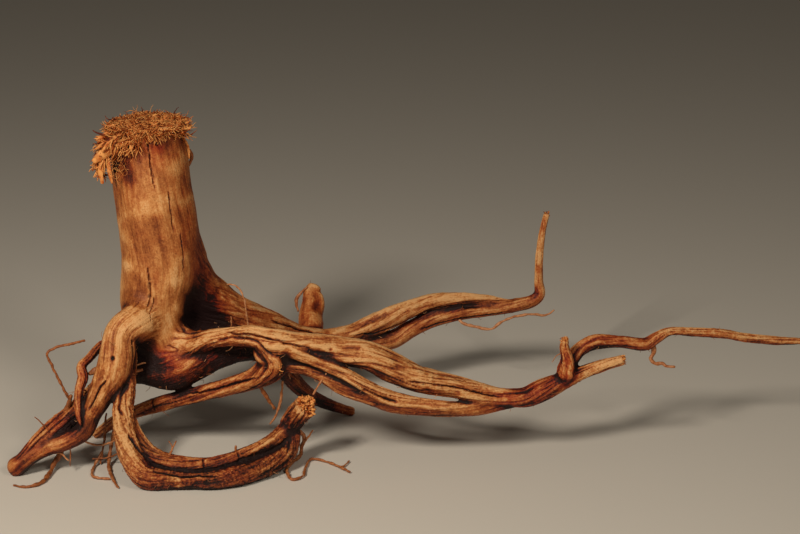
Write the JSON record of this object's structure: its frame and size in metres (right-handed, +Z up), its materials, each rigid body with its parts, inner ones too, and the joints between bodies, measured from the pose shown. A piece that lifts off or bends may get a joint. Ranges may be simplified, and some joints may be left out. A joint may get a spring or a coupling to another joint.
{
  "type": "dry root",
  "caption": "Dry, debarked tree stump with its spreading roots: a frayed top, a looped root and long roots that reach out to one side, in one weathered piece of wood.",
  "frame": {"origin": "on the ground, under the middle of the whole root's bounding box", "axes": "+Z up, +X along the longest root, away from the stump, and -Y towards the looped root in front"},
  "size_m": [0.8094, 0.2918, 0.3393],
  "materials": {
    "weathered_wood": "weathered, barkless root wood with a satin sheen on its ridges"
  },
  "bodies": {
    "root": {"dry_root": "weathered_wood"}
  },
  "joints": []
}
